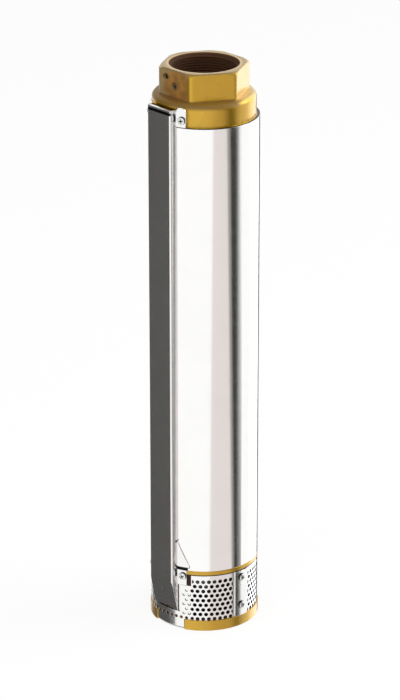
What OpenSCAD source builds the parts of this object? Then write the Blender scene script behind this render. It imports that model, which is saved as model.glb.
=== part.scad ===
// Multistage borehole pump end for a 4 inch well motor, in millimetres.
// The shaft runs up Z, z = 0 is the underside of the motor flange rim,
// and the cable guard is on the -Y side. Angles around the shaft are
// measured from the guard, positive towards +X.

/* [Casing] */
// Outside diameter of the casing tube
casing_d = 97; // [95:0.5:101]
// Wall of the casing tube
casing_wall = 2.5; // [2:0.1:3]
// Number of stages
stage_count = 8; // [4:1:8]
// Height of one stage
stage_pitch = 43; // [42:0.5:48]

/* [Discharge head] */
// Width of the hexagon across its flats
hex_af = 70; // [68:0.5:72]
// Diameter to which the corners of the hexagon are turned
hex_corner_d = 79.8; // [79:0.2:82]
// Height of the hexagon
hex_h = 24.6; // [23:0.2:30]
// Diameter of the riser pipe thread
riser_thread_d = 59.6; // [58:0.2:60]
// Depth of the riser pipe thread
riser_thread_l = 26; // [22:0.5:27]
// Height of the collar above the casing
collar_h = 20.4; // [19.6:0.2:24]
// Rounding of the shoulder of the collar
collar_round = 5.4; // [4:0.2:6]
// Length of the head inside the casing
head_spigot_h = 36.4; // [35:0.2:42]

/* [Suction bracket] */
// Height of the motor flange rim
rim_h = 9.75; // [9:0.25:11]
// How far the rim stands out beyond the casing
rim_overhang = 0.7; // [0.5:0.1:1.5]
// Diameter of the motor register
register_d = 87.36; // [87.3:0.02:87.5]
// Depth of the motor register
register_h = 5; // [4:0.5:6]
// Pitch circle of the motor studs
stud_pcd = 76.2; // [74:0.2:77]
// Diameter of the holes for the motor studs
stud_hole_d = 8.8; // [8.2:0.1:9.2]
// Height of the suction windows
window_h = 44.5; // [42:0.5:50]
// Height of the ring under the casing
ring_h = 4.35; // [4:0.05:8]
// Length of the bracket inside the casing
bracket_spigot_h = 17.4; // [16:0.2:22]
// Edge of the notch for the motor lead towards +X, in degrees from the guard
notch_right = 25.3; // [20:0.1:26]
// Edge of the notch on the other side, in degrees from the guard
notch_left = 14; // [13:0.1:26]

/* [Strainer] */
// Thickness of the strainer sheet
sheet_t = 0.8; // [0.6:0.1:1]
// Diameter of the strainer holes
strainer_hole_d = 3; // [2:0.1:3.2]
// Strainer holes around one row
strainer_columns = 59; // [40:1:60]
// Rows of strainer holes
strainer_rows = 9; // [5:1:9]

/* [Cable guard] */
// Width of the flat face of the guard
guard_w = 29.2; // [26:0.2:30]
// How far the face of the guard stands off the casing
guard_stand = 5.1; // [5:0.1:7]
// Thickness of the guard sheet
guard_t = 0.8; // [0.6:0.1:1]
// Outside radius of the guard's bends
guard_bend_r = 1.6; // [1.2:0.1:2.5]
// Splay of the guard's side walls, in degrees
guard_splay = 2; // [1:1:9]

/* [Stages] */
// Outside diameter of an impeller
impeller_d = 72; // [66:1:74]
// Outside diameter of the eye of an impeller
eye_d = 46; // [43:0.5:48]
// Vanes in an impeller
impeller_vanes = 6; // [5:1:8]
// Vanes in a diffuser
diffuser_vanes = 7; // [5:1:9]
// Diameter of the hubs and sleeves on the shaft
hub_d = 20; // [18:0.5:21]

/* [Shaft and coupling] */
// Width of the hexagonal shaft across its flats
shaft_af = 12; // [11:0.5:12.5]
// Outside diameter of the coupling
coupling_d = 28; // [26:0.5:32]
// Diameter across the roots of the motor spline
spline_d = 16.2; // [16:0.1:17]
// Teeth of the motor spline
spline_teeth = 14; // [12:1:16]

/* [Check valve] */
// Bore of the valve seat
seat_bore_d = 50; // [44:1:52]
// Lift of the valve
valve_lift = 10; // [8:0.5:10]
// Turns of the valve spring
spring_turns = 5; // [4:0.5:6]
// Wire of the valve spring
spring_wire = 1.2; // [1:0.1:1.4]

/* [Screws] */
// Diameter of the guard and strainer screws
screw_d = 4; // [3:0.5:4]
// Diameter of their heads
screw_head_d = 7.2; // [6:0.2:7.6]
// Height of their heads
screw_head_h = 2.4; // [1.8:0.1:2.8]

/* [Clearances] */
// Gap between pieces that are assembled and then stay still
fit_gap = 0.1; // [0.06:0.01:0.15]
// Gap between faces that rest on each other
seat_gap = 0.05; // [0.02:0.01:0.06]
// Radial clearance of the shaft sleeves in their bushes
running_gap = 0.08; // [0.05:0.01:0.1]
// Radial clearance of an impeller eye in its wear ring
wear_gap = 0.15; // [0.1:0.01:0.25]

/* [Hidden] */
$fn = 96;

brass = [0.78, 0.60, 0.24];
bright_steel = [0.86, 0.86, 0.87];
dark_steel = [0.45, 0.45, 0.46];
rubber = [0.10, 0.10, 0.10];
ivory_plastic = [0.86, 0.84, 0.76];
black_plastic = [0.16, 0.16, 0.17];

// Levels up the pump
ring_z = rim_h + window_h;
casing_z = ring_z + ring_h;
stack_z = casing_z + bracket_spigot_h;
inlet_h = 10;
first_stage_z = stack_z + inlet_h;
stack_top_z = first_stage_z + stage_count * stage_pitch;
spider_h = 10;
head_z = stack_top_z + spider_h;
casing_top_z = head_z + head_spigot_h;
hex_z = casing_top_z + collar_h;
head_top_z = hex_z + hex_h;
function stage_z(i) = first_stage_z + (i - 1) * stage_pitch;

// Radii of the outer pieces
casing_r = casing_d / 2;
bore_r = casing_r - casing_wall;
spigot_r = bore_r - fit_gap;
collar_step = 0.5;
collar_r = bore_r - collar_step;
rim_r = casing_r + rim_overhang;
register_r = register_d / 2;
strainer_r = casing_r - fit_gap;
strainer_in_r = strainer_r - sheet_t;
strainer_seat_r = strainer_in_r - fit_gap;

// Seals
o_ring_w = 2.5;
o_ring_r = bore_r - o_ring_w / 2 - seat_gap;
groove_r = bore_r - o_ring_w - fit_gap;
groove_w = 3.2;
bracket_groove_z = casing_z + bracket_spigot_h / 2;
head_groove_drop = 9;
head_groove_z = casing_top_z - head_groove_drop;

// Suction bracket
motor_plate_t = 9;
plate_top_z = register_h + motor_plate_t;
shaft_opening_r = 20;
notch_depth = 4;
notch_in_r = register_r - notch_depth;
pillar_t = 8;
pillar_in_r = bore_r - pillar_t;
pillar_half = 13.5;
throat_t = 9;
throat_r = bore_r - throat_t;
bush_wall = 3.4;
bush_r = hub_d / 2 + running_gap + bush_wall;
bearing_hub_t = 3.4;
bearing_hub_r = bush_r + bearing_hub_t;
bearing_hub_h = 12;
bearing_rib_inset = 2;
bearing_rib_w = 5;
pad_root = 3.5;
pillar_sink = 4;
pad_a1 = 17.5;
pad_a2 = 31.8;
pad_h = 10.2;
pad_z = ring_z - pad_h;
head_pad_a2 = 27.9;
window_step = 0.4;
window_step_a = 0.7;

// Cable guard, with levels from the casing's two ends
guard_face_r = casing_r + guard_stand;
guard_seat_r = casing_r + fit_gap;
guard_rise = 15.6;
guard_top_z = casing_top_z + guard_rise;
guard_bend_drop = 7.2;
guard_bend_z = ring_z - guard_bend_drop;
guard_tip_rise = 7.3;
guard_tip_z = rim_h + guard_tip_rise;
guard_tip_inset = 1.4;
guard_tip_r = strainer_r - guard_tip_inset;
guard_lip = 3;
lip_bend_r = 1.6;
guard_back = 14;
foot_r = strainer_seat_r;
foot_gap = 0.6;
foot_z1 = plate_top_z + foot_gap;
foot_z2 = pad_z - foot_gap;
foot_a2 = 31.1;
lug_root_x = guard_w / 2 + guard_stand * tan(guard_splay) - guard_t / 2;
foot_a1 = asin(lug_root_x / foot_r);
guard_screw_a = 23.7;
lug_edge = 3.5;
lug_x = guard_seat_r * sin(guard_screw_a) + lug_edge;
lug_round = 4;
flap_over = 2.3;
flap_x = lug_x + flap_over;
flap_gap = 3;
flap_z1 = casing_z + flap_gap;
flap_end_h = 2.2;
flap_z2 = flap_z1 + flap_end_h;
flap_h = 25.4;
flap_z3 = flap_z1 + flap_h;
slit_h = 2;
slit_depth = 3;
slit_a1 = 8;
slit_a2 = 24;
guard_hole_d = 2;
guard_hole_drop = 9.7;
guard_hole_z = guard_bend_z - guard_hole_drop;
top_lug_rise = 0.8;
top_lug_z1 = casing_top_z + top_lug_rise;
top_lug_h = 17.4;
top_lug_z2 = top_lug_z1 + top_lug_h;
low_lug_rise = 0.3;
low_lug_z1 = pad_z + low_lug_rise;
low_lug_over = 0.6;
low_lug_z2 = casing_z + low_lug_over;
top_screw_rise = 6.9;
top_screw_z = casing_top_z + top_screw_rise;
low_screw_drop = 1;
low_screw_z = ring_z - low_screw_drop;
screw_l = 9;
screw_hole_gap = 0.1;

// Strainer lap, on the pillar at +X
lap_mid = 90;
lap_half = 8.5;
lap_joggle = 2;
lap_inset = 0.3;
lap_r = strainer_r + fit_gap + sheet_t;
lap_margin = 11;
window_half = 19.8;
hole_margin_a = 1.2;
row_first_rise = 1.65;
row_first_z = rim_h + row_first_rise;
row_last_drop = 5.95;
row_last_z = ring_z - row_last_drop;
row_pitch = (row_last_z - row_first_z) / (strainer_rows - 1);
seam_screw_rise = 10.55;
seam_screw_z1 = rim_h + seam_screw_rise;
seam_screw_drop = 6.45;
seam_screw_z2 = ring_z - seam_screw_drop;
tongue_z = 1.5;

// Stages
bowl_r = bore_r - 2 * fit_gap;
bowl_wall = 2.4;
bowl_in_r = bowl_r - bowl_wall;
eye_r = eye_d / 2;
eye_wall = 1.5;
wear_ring_r = eye_r + wear_gap;
wear_ring_t = 3.4;
wear_seat_r = wear_ring_r + wear_ring_t;
wear_flange_w = 2;
wear_flange_r = wear_seat_r + wear_flange_w;
wear_lip = 0.3;
hub_r = hub_d / 2;
hub_drop = 4;
plate_t = 5;
core_z = 20;
core_t = 2.5;
core_gap = 1.5;
core_r = impeller_d / 2 + core_gap;
vane_t = 2;

// Shaft line
coupling_rise = 7;
coupling_z1 = register_h + coupling_rise;
coupling_h = 50;
coupling_z2 = coupling_z1 + coupling_h;
pilot_step = 0.5;
pilot_r = spline_d / 2 + pilot_step;
pilot_h = 5;
spline_h = 23;
socket_h = 20;
socket_z = coupling_z2 - socket_h;
pin_r = 2;
pin_drop = 7;
pin_z = coupling_z2 - pin_drop;
hub_top_z = stack_top_z - hub_drop;
sleeve_rise = 12;
sleeve_top_z = stack_top_z + sleeve_rise;
bush_top_h = 11;
nut_af = 16;
nut_h = 5;
washer_t = 1.5;
thread_r = 5;
shaft_end_h = 1;
shaft_top_z = sleeve_top_z + washer_t + nut_h + shaft_end_h;

// Check valve
riser_r = riser_thread_d / 2;
riser_mouth = 1;
riser_mouth_r = riser_r + riser_mouth;
stop_w = 2.8;
stop_r = riser_r - stop_w;
stop_h = 3.4;
chamber_wall = 8;
chamber_r = bore_r - chamber_wall;
counter_w = 3;
counter_r = chamber_r + counter_w;
seat_rise = 12;
seat_z = head_z + seat_rise;
seat_flange_h = 6;
seat_lip_h = 6;
seat_lip_w = 4;
seat_top_z = seat_z + seat_lip_h;
chamber_top_z = head_top_z - riser_thread_l - stop_h;
seal_t = 3;
poppet_t = 4;
poppet_over = 5;
poppet_r = seat_bore_d / 2 + poppet_over;
poppet_z = seat_top_z + seal_t;
poppet_top_z = poppet_z + poppet_t;
boss_r = 9;
stem_r = 4;
guide_hub_r = 8;
guide_gap = 1;
guide_hub_z = poppet_top_z + valve_lift + guide_gap;
guide_ring_h = 6;
guide_ring_w = 5;
guide_z = chamber_top_z - guide_ring_h;
rib_w = 4;
circlip_t = 1.6;
circlip_grip = 1.4;
spring_r = 10.6;
spring_z1 = poppet_top_z + seat_gap;
spring_z2 = guide_z - seat_gap;
valve_screw_r = 2.5;
valve_screw_af = 8;
valve_screw_head_h = 3.4;
valve_washer_t = 1.6;

// Holes in the flat of the hexagon that faces the guard
lock_screw_r = 2.4;
lock_screw_drop = 14.3;
lock_screw_z = head_top_z - lock_screw_drop;
lock_screw_sink = 0.4;
lock_screw_l = hex_af / 2 - riser_r - 2 * lock_screw_sink;
lock_drive_af = 2.4;
lock_drive_h = 1.6;
bleed_x = -10.3;
bleed_drop = 7.6;
bleed_z = head_top_z - bleed_drop;
bleed_r = 2.1;

module ring(r1, r2, z1, z2) {
    rotate_extrude()
        translate([r1, z1])
            square([r2 - r1, z2 - z1]);
}

module sector(r1, r2, z1, z2, a1, a2) {
    rotate([0, 0, a1 - 90])
        rotate_extrude(angle = a2 - a1)
            translate([r1, z1])
                square([r2 - r1, z2 - z1]);
}

module hexagon(af, z1, z2) {
    translate([0, 0, z1])
        cylinder(r = af / sqrt(3), h = z2 - z1, $fn = 6);
}

// Places its children, drawn along +X, on a radial line
module radial(a, z) {
    rotate([0, 0, a - 90])
        translate([0, 0, z])
            children();
}

// Runs a YZ outline across X
module across_x(w) {
    rotate([90, 0, 90])
        linear_extrude(w, center = true)
            children();
}

// Runs an XZ outline out through the guard side
module towards_guard() {
    rotate([90, 0, 0])
        linear_extrude(2 * casing_r)
            children();
}

module on_both_sides() {
    children();
    mirror([1, 0, 0])
        children();
}

module radial_hole(r, r1, r2) {
    translate([r1, 0, 0])
        rotate([0, 90, 0])
            cylinder(r = r, h = r2 - r1);
}

// Pan head screw with its seat at radius r, driven inwards
module pan_screw(r) {
    shank_r = screw_d / 2;
    head_r = screw_head_d / 2;
    translate([r, 0, 0])
        rotate([0, 90, 0])
            rotate_extrude()
                polygon([
                    [0, -screw_l],
                    [shank_r, -screw_l],
                    [shank_r, 0],
                    [head_r, 0],
                    [head_r, 0.45 * screw_head_h],
                    [0.7 * head_r, screw_head_h],
                    [0, screw_head_h]]);
}

module tapped_hole(r) {
    radial_hole(screw_d / 2 + screw_hole_gap, r - screw_l - 1.5, r + 3);
}

module o_ring(z) {
    color(rubber)
        rotate_extrude()
            translate([o_ring_r, z])
                circle(d = o_ring_w);
}

module o_ring_groove(z) {
    ring(groove_r, bore_r + 1, z - groove_w / 2, z + groove_w / 2);
}

module ribs(count, r1, r2, z1, z2, w) {
    for (i = [0 : count - 1])
        rotate([0, 0, 90 + i * 360 / count])
            translate([r1, -w / 2, z1])
                cube([r2 - r1, w, z2 - z1]);
}

// Curved vane outline: one side of a circle whose centre is on +Y
module vane_2d(r1, r2, centre, bend_r) {
    intersection() {
        translate([0, centre])
            difference() {
                circle(r = bend_r + vane_t / 2);
                circle(r = bend_r - vane_t / 2);
            }
        difference() {
            circle(r = r2);
            circle(r = r1);
        }
        translate([0, -2 * r2])
            square([2 * r2, 4 * r2]);
    }
}

module bracket_ring_profile() {
    polygon([
        [throat_r + 3, ring_z - 5],
        [strainer_seat_r, ring_z - 5],
        [strainer_seat_r, ring_z],
        [casing_r, ring_z],
        [casing_r, casing_z],
        [spigot_r, casing_z],
        [spigot_r, stack_z - 1.5],
        [spigot_r - 1.5, stack_z],
        [throat_r, stack_z],
        [throat_r, ring_z + 1]]);
}

// Rim round the motor's register, and the plate that the motor's studs go through
module flange_profile() {
    polygon([
        [register_r, 0],
        [rim_r, 0],
        [rim_r, rim_h],
        [strainer_seat_r, rim_h],
        [strainer_seat_r, plate_top_z],
        [shaft_opening_r, plate_top_z],
        [shaft_opening_r, register_h],
        [register_r, register_h]]);
}

module suction_bracket() {
    color(brass)
        difference() {
            union() {
                rotate_extrude()
                    flange_profile();
                for (a = [90, 180, 270])
                    sector(pillar_in_r, strainer_seat_r, plate_top_z - 1, ring_z - pillar_sink,
                           a - pillar_half, a + pillar_half);
                rotate_extrude()
                    bracket_ring_profile();
                on_both_sides()
                    sector(throat_r + pad_root, casing_r, pad_z, ring_z + 1, pad_a1, pad_a2);
                ring(bush_r, bearing_hub_r, stack_z - bearing_hub_h, stack_z);
                ribs(3, bearing_hub_r - 1, throat_r + 1, stack_z - bearing_hub_h + bearing_rib_inset,
                     stack_z - bearing_rib_inset, bearing_rib_w);
            }
            sector(notch_in_r, rim_r + 1, -1, plate_top_z + 1, -notch_left, notch_right);
            for (a = [45 : 90 : 315])
                rotate([0, 0, a])
                    translate([stud_pcd / 2, 0, register_h - 1])
                        cylinder(d = stud_hole_d, h = plate_top_z - register_h + 2);
            o_ring_groove(bracket_groove_z);
            for (z = [seam_screw_z1, seam_screw_z2])
                radial(lap_mid, z)
                    tapped_hole(lap_r);
            on_both_sides()
                radial(guard_screw_a, low_screw_z)
                    tapped_hole(guard_seat_r + guard_t);
        }
}

module bracket_o_ring() {
    o_ring(bracket_groove_z);
}

// True where a hole of the strainer lands on the sheet
function on_sheet(a, z) =
    let (turn = a > 180 ? a - 360 : a,
         off = abs(turn),
         edge = asin(strainer_hole_d / 2 / strainer_r) + hole_margin_a)
    (off > pad_a2 + edge
     || (off > window_half + edge && z < pad_z - window_step - strainer_hole_d)
     || z < guard_tip_z - window_step - strainer_hole_d)
    && abs(turn - lap_mid) > lap_margin;

module strainer() {
    z1 = rim_h + fit_gap;
    z2 = ring_z - fit_gap;
    pitch = 360 / strainer_columns;
    color(bright_steel)
        difference() {
            union() {
                difference() {
                    ring(strainer_in_r, strainer_r, tongue_z, z2);
                    difference() {
                        ring(strainer_in_r - 1, strainer_r + 1, tongue_z - 1, z1);
                        sector(strainer_in_r - 2, strainer_r + 2, tongue_z - 2, z1 + 1,
                               window_step_a - notch_left, notch_right - window_step_a);
                    }
                    sector(strainer_in_r - 1, strainer_r + 1, z1 - 1, z2 + 1,
                           lap_mid + lap_half - lap_joggle - 1, lap_mid + lap_half - lap_joggle);
                }
                sector(strainer_r + fit_gap, lap_r, z1, z2,
                       lap_mid - lap_half, lap_mid + lap_half);
                sector(strainer_r - sheet_t / 2, lap_r - sheet_t / 2, z1 + lap_inset, z2 - lap_inset,
                       lap_mid + lap_half - lap_joggle + lap_inset, lap_mid + lap_half - lap_inset);
            }
            sector(strainer_in_r - 1, lap_r + 1, guard_tip_z - window_step, ring_z,
                   -window_half, window_half);
            sector(strainer_in_r - 1, lap_r + 1, pad_z - window_step, ring_z,
                   -pad_a2 - window_step_a, pad_a2 + window_step_a);
            for (row = [0 : strainer_rows - 1], column = [0 : strainer_columns - 1]) {
                a = (column + ((row + 1) % 2) / 2) * pitch;
                z = row_first_z + row * row_pitch;
                if (on_sheet(a, z))
                    radial(a, z)
                        radial_hole(strainer_hole_d / 2, strainer_in_r - 1, strainer_r + 1);
            }
            for (z = [seam_screw_z1, seam_screw_z2])
                radial(lap_mid, z)
                    tapped_hole(lap_r);
        }
}

module strainer_screws() {
    color(dark_steel)
        for (z = [seam_screw_z1, seam_screw_z2])
            radial(lap_mid, z)
                pan_screw(lap_r);
}

// Outline of the guard's channel seen along the shaft, inset by the sheet or by nothing
module channel_2d(inset) {
    r = guard_bend_r - inset;
    xc = guard_w / 2 - guard_bend_r;
    yc = guard_bend_r - guard_face_r;
    end = [xc + r * cos(guard_splay), yc - r * sin(guard_splay)];
    back = end + guard_back * [sin(guard_splay), cos(guard_splay)];
    polygon([[-xc, yc - r], [xc, yc - r], [xc, yc], end, back,
             [-back.x, back.y], [-end.x, end.y], [-xc, yc]]);
    on_both_sides()
        translate([xc, yc])
            intersection() {
                circle(r = r);
                polygon([[0, 0], [0, -2 * r], [2 * r, -2 * r],
                         2 * r * [cos(guard_splay), -sin(guard_splay)]]);
            }
}

// The channel as a solid: straight above the bend, running in towards the strainer below it
module channel(inset) {
    face = guard_face_r - inset;
    tip = guard_tip_r - inset;
    translate([0, 0, guard_bend_z])
        linear_extrude(guard_top_z - guard_bend_z)
            channel_2d(inset);
    intersection() {
        translate([0, 0, guard_tip_z])
            linear_extrude(guard_bend_z - guard_tip_z)
                channel_2d(inset);
        across_x(2 * guard_w)
            polygon([[-face, guard_bend_z], [-tip, guard_tip_z],
                     [0, guard_tip_z], [0, guard_bend_z]]);
    }
}

module guard_lugs() {
    intersection() {
        ring(guard_seat_r, guard_seat_r + guard_t, low_lug_z1, top_lug_z2);
        towards_guard()
            on_both_sides() {
                translate([lug_root_x, top_lug_z1])
                    square([lug_x - lug_root_x, top_lug_z2 - lug_round - top_lug_z1]);
                translate([lug_x - lug_round, top_lug_z2 - lug_round])
                    circle(r = lug_round);
                translate([lug_root_x, low_lug_z1])
                    square([lug_x - lug_root_x, low_lug_z2 - low_lug_z1]);
                polygon([[lug_root_x, flap_z1], [flap_x, flap_z1],
                         [flap_x, flap_z2], [lug_root_x, flap_z3]]);
            }
    }
}

// What the bend of the lip leaves off the guard's square top edge
module lip_corner() {
    centre = [lip_bend_r - guard_face_r, guard_top_z - lip_bend_r];
    across_x(2 * guard_w)
        polygon(concat(
            [[-guard_face_r - 1, centre.y], [-guard_face_r - 1, guard_top_z + 1],
             [centre.x, guard_top_z + 1]],
            [for (a = [90 : 22.5 : 180]) centre + lip_bend_r * [cos(a), sin(a)]]));
}

module cable_guard() {
    color(bright_steel)
        difference() {
            union() {
                difference() {
                    channel(0);
                    channel(guard_t);
                    translate([0, 0, foot_z2 + foot_gap / 2])
                        cylinder(r = guard_seat_r, h = guard_top_z);
                    cylinder(r = guard_tip_r - guard_t - fit_gap, h = guard_top_z);
                    on_both_sides()
                        sector(guard_seat_r - 1, guard_seat_r + slit_depth,
                               flap_z3 - slit_h / 2, flap_z3 + slit_h / 2, slit_a1, slit_a2);
                }
                translate([guard_bend_r - guard_w / 2, -guard_face_r + guard_t / 2,
                           guard_top_z - guard_t])
                    cube([guard_w - 2 * guard_bend_r, guard_lip - guard_t / 2, guard_t]);
                guard_lugs();
                on_both_sides()
                    sector(foot_r - guard_t, foot_r, foot_z1, foot_z2, foot_a1, foot_a2);
            }
            on_both_sides()
                for (z = [top_screw_z, low_screw_z])
                    radial(guard_screw_a, z)
                        tapped_hole(guard_seat_r + guard_t);
            radial(0, guard_hole_z)
                radial_hole(guard_hole_d / 2, guard_tip_r - guard_t, guard_face_r + 1);
            lip_corner();
        }
}

module guard_screws() {
    color(dark_steel)
        on_both_sides()
            for (z = [top_screw_z, low_screw_z])
                radial(guard_screw_a, z)
                    pan_screw(guard_seat_r + guard_t);
}

module outer_casing() {
    edge = 0.4;
    color(bright_steel)
        rotate_extrude()
            polygon([
                [bore_r, casing_z + edge],
                [bore_r + edge, casing_z],
                [casing_r - edge, casing_z],
                [casing_r, casing_z + edge],
                [casing_r, casing_top_z - edge],
                [casing_r - edge, casing_top_z],
                [bore_r + edge, casing_top_z],
                [bore_r, casing_top_z - edge]]);
}

// Spigot and collar of the head, with the rounded shoulder as a quarter circle
module collar_profile() {
    round_z = hex_z - collar_round;
    translate([0, head_z])
        square([spigot_r, head_spigot_h]);
    translate([0, casing_top_z])
        square([collar_r, collar_h - collar_round]);
    translate([0, round_z])
        square([collar_r - collar_round, collar_round]);
    translate([collar_r - collar_round, round_z])
        intersection() {
            circle(r = collar_round);
            square(collar_round);
        }
}

module head_bore_profile() {
    polygon([
        [0, head_top_z + 1],
        [riser_mouth_r, head_top_z + 1],
        [riser_mouth_r, head_top_z],
        [riser_r, head_top_z - riser_mouth],
        [riser_r, chamber_top_z + stop_h],
        [stop_r, chamber_top_z + stop_h],
        [stop_r, chamber_top_z],
        [chamber_r, chamber_top_z],
        [chamber_r, seat_z],
        [counter_r, seat_z],
        [counter_r, head_z - 1],
        [0, head_z - 1]]);
}

// Hexagon with its corners turned round and its top edge turned to a shallow cone
module head_hexagon() {
    corner_r = hex_corner_d / 2;
    intersection() {
        hexagon(hex_af, hex_z - 1, head_top_z);
        rotate_extrude()
            polygon([
                [0, hex_z - 1],
                [corner_r, hex_z - 1],
                [corner_r, head_top_z - 1.6],
                [corner_r - 3, head_top_z],
                [0, head_top_z]]);
    }
}

module discharge_head() {
    color(brass)
        difference() {
            union() {
                rotate_extrude()
                    collar_profile();
                head_hexagon();
                on_both_sides()
                    sector(collar_r - 2, casing_r, top_lug_z1 - 0.4, hex_z - collar_round,
                           pad_a1, head_pad_a2);
            }
            rotate_extrude()
                head_bore_profile();
            o_ring_groove(head_groove_z);
            ring(chamber_r - 1, chamber_r + circlip_grip, guide_z - circlip_t - fit_gap, guide_z);
            radial(0, lock_screw_z)
                radial_hole(lock_screw_r + screw_hole_gap, riser_r - 2, hex_af / 2 + 1);
            translate([bleed_x, 0, bleed_z])
                rotate([90, 0, 0])
                    cylinder(r = bleed_r, h = hex_af / 2 + 1);
            on_both_sides()
                radial(guard_screw_a, top_screw_z)
                    tapped_hole(guard_seat_r + guard_t);
        }
}

module head_o_ring() {
    o_ring(head_groove_z);
}

module riser_lock_screw() {
    end = hex_af / 2 - lock_screw_sink;
    color(dark_steel)
        difference() {
            radial(0, lock_screw_z)
                radial_hole(lock_screw_r, end - lock_screw_l, end);
            radial(0, lock_screw_z)
                translate([end, 0, 0])
                    rotate([0, 90, 0])
                        hexagon(lock_drive_af, -lock_drive_h, 1);
        }
}

module valve_seat() {
    color(dark_steel)
        rotate_extrude()
            polygon([
                [seat_bore_d / 2 + 3, seat_z - seat_flange_h],
                [counter_r - fit_gap, seat_z - seat_flange_h],
                [counter_r - fit_gap, seat_z],
                [seat_bore_d / 2 + seat_lip_w + 2, seat_z],
                [seat_bore_d / 2 + seat_lip_w, seat_top_z],
                [seat_bore_d / 2, seat_top_z],
                [seat_bore_d / 2, seat_z - 2]]);
}

module valve_guide() {
    color(brass) {
        ring(chamber_r - guide_ring_w, chamber_r - fit_gap, guide_z, chamber_top_z);
        ring(stem_r + running_gap, guide_hub_r, guide_hub_z, chamber_top_z + 2);
        ribs(3, guide_hub_r - 1, chamber_r - guide_ring_w + 1, guide_z,
             chamber_top_z - 1, rib_w);
    }
}

// Snap ring with its two eyes, open towards the guard
module valve_circlip() {
    r1 = chamber_r - 2.6;
    r2 = chamber_r + circlip_grip - fit_gap;
    z1 = guide_z - circlip_t - fit_gap / 2;
    eye_a = 12;
    gap = 8;
    color(dark_steel)
        difference() {
            union() {
                ring(r1, r2, z1, z1 + circlip_t);
                for (a = [-eye_a, eye_a])
                    radial(a, z1)
                        translate([r1 - 1, 0, 0])
                            cylinder(r = 2.4, h = circlip_t);
            }
            translate([-gap / 2, -2 * r2, z1 - 1])
                cube([gap, 2 * r2, circlip_t + 2]);
            for (a = [-eye_a, eye_a])
                radial(a, z1 - 1)
                    translate([r1 - 1, 0, 0])
                        cylinder(r = 1, h = circlip_t + 2);
        }
}

// Coil of the valve spring, swept along its helix with flat ground ends
function coil_ring(t, turns, z1, z2, sides) =
    let (wire = spring_wire / 2,
         a = 360 * turns * t,
         rise = z1 + wire + (z2 - z1 - 2 * wire) * min(max((t * turns - 0.75) / (turns - 1.5), 0), 1))
    [for (s = [0 : sides - 1])
        let (r = spring_r + wire * cos(360 * s / sides))
        [r * cos(a), r * sin(a), rise + wire * sin(360 * s / sides)]];

module valve_spring() {
    sides = 8;
    turns = spring_turns + 1.5;
    rings = ceil(turns * 20);
    points = [for (i = [0 : rings], p = coil_ring(i / rings, turns, spring_z1, spring_z2, sides)) p];
    last = rings * sides;
    faces = concat(
        [[for (s = [0 : sides - 1]) s]],
        [for (i = [0 : rings - 1], s = [0 : sides - 1])
            let (a = i * sides + s, b = i * sides + (s + 1) % sides)
            [a, a + sides, b + sides, b]],
        [[for (s = [sides - 1 : -1 : 0]) last + s]]);
    color(bright_steel)
        polyhedron(points, faces);
}

module valve_poppet() {
    color(brass)
        difference() {
            union() {
                ring(0, poppet_r, poppet_z, poppet_top_z);
                ring(0, boss_r, seat_top_z, poppet_z + 1);
                ring(0, stem_r, poppet_top_z - 1, chamber_top_z + stop_h - 0.6);
            }
            ring(0, valve_screw_r + screw_hole_gap, seat_top_z - 1, poppet_top_z + 4);
        }
}

module valve_seal() {
    color(rubber)
        ring(boss_r + fit_gap, poppet_r - 1, seat_top_z + seat_gap, poppet_z - seat_gap);
}

module valve_washer() {
    color(bright_steel)
        ring(valve_screw_r + screw_hole_gap, boss_r + 4,
             seat_top_z - valve_washer_t, seat_top_z - seat_gap);
}

module valve_screw() {
    head_top = seat_top_z - valve_washer_t - seat_gap;
    color(dark_steel) {
        ring(0, valve_screw_r, head_top - 1, poppet_top_z + 3);
        hexagon(valve_screw_af, head_top - valve_screw_head_h, head_top);
    }
}

module bearing_spider() {
    color(ivory_plastic) {
        ring(chamber_r - 2, bowl_r, stack_top_z, head_z);
        ring(chamber_r - 2, counter_r - fit_gap, head_z - 1, seat_z - seat_flange_h);
        ring(bush_r, bearing_hub_r, stack_top_z, stack_top_z + bush_top_h);
        ribs(4, bearing_hub_r - 1, chamber_r - 1, stack_top_z, stack_top_z + spider_h - 2, rib_w);
    }
}

// Rubber bush with grooves that let sand through
module fluted_bush(z1, z2) {
    color(rubber)
        difference() {
            ring(hub_r + running_gap, bush_r - fit_gap, z1, z2);
            for (a = [0 : 60 : 300])
                rotate([0, 0, a])
                    translate([hub_r, 0, z1 - 1])
                        cylinder(r = 1.3, h = z2 - z1 + 2);
        }
}

module top_bearing_bush() {
    fluted_bush(stack_top_z, stack_top_z + bush_top_h);
}

module lower_bearing_bush() {
    fluted_bush(stack_z - bearing_hub_h, stack_z);
}

module inlet_plate() {
    color(ivory_plastic)
        rotate_extrude()
            polygon([
                [throat_r, stack_z],
                [bowl_r, stack_z],
                [bowl_r, first_stage_z],
                [wear_seat_r, first_stage_z],
                [wear_seat_r, first_stage_z - plate_t]]);
}

module stage_bushes() {
    for (i = [1 : stage_count])
        fluted_bush(stage_z(i) + core_z + 1, stage_z(i) + stage_pitch - plate_t - 1);
}

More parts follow.
